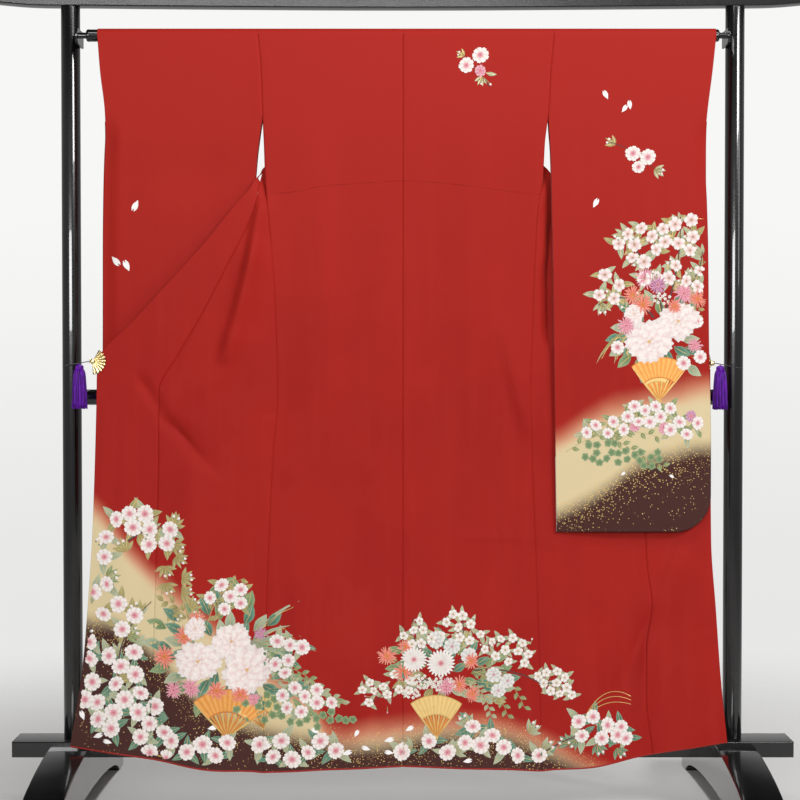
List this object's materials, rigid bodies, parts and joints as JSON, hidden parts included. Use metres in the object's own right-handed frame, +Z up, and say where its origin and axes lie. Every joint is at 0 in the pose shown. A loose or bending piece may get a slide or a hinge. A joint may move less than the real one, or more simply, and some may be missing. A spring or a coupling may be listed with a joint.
{
  "type": "furisode on a kimono stand",
  "caption": "Long-sleeved formal kimono hung by its sleeves on the rod of a lacquered stand, back to the viewer, both fronts opened out.",
  "frame": {"origin": "on the floor under the middle of the stand", "axes": "+Z up, +X to the right of someone who looks at the furisode's back, +Y away from them, from the furisode to the stand's posts"},
  "size_m": [1.848, 0.88, 1.8115],
  "materials": {
    "crepe": "red silk crepe with dyed flowers, cream mist and dark brown ground at the hem and sleeves",
    "lacquer": "gloss black lacquer",
    "gold": "polished gilt",
    "silk": "purple twisted silk",
    "string": "dark braided cord"
  },
  "bodies": {
    "root": {"base_beam": "lacquer", "body_left": "crepe", "body_right": "crepe", "bracket_left": "lacquer", "bracket_right": "lacquer", "clip_fan_left": "gold", "clip_fan_right": "gold", "clip_jaw_left": "gold", "clip_jaw_right": "gold", "collar_left": "crepe", "collar_neck": "crepe", "collar_right": "crepe", "foot_left": "lacquer", "foot_right": "lacquer", "mid_rail": "lacquer", "overlap_left": "crepe", "overlap_right": "crepe", "post_left": "lacquer", "post_right": "lacquer", "rod": "lacquer", "sleeve_left": "crepe", "sleeve_right": "crepe", "string_left": "string", "string_right": "string", "tassel_left": "silk", "tassel_right": "silk", "top_bar": "lacquer"}
  },
  "joints": []
}
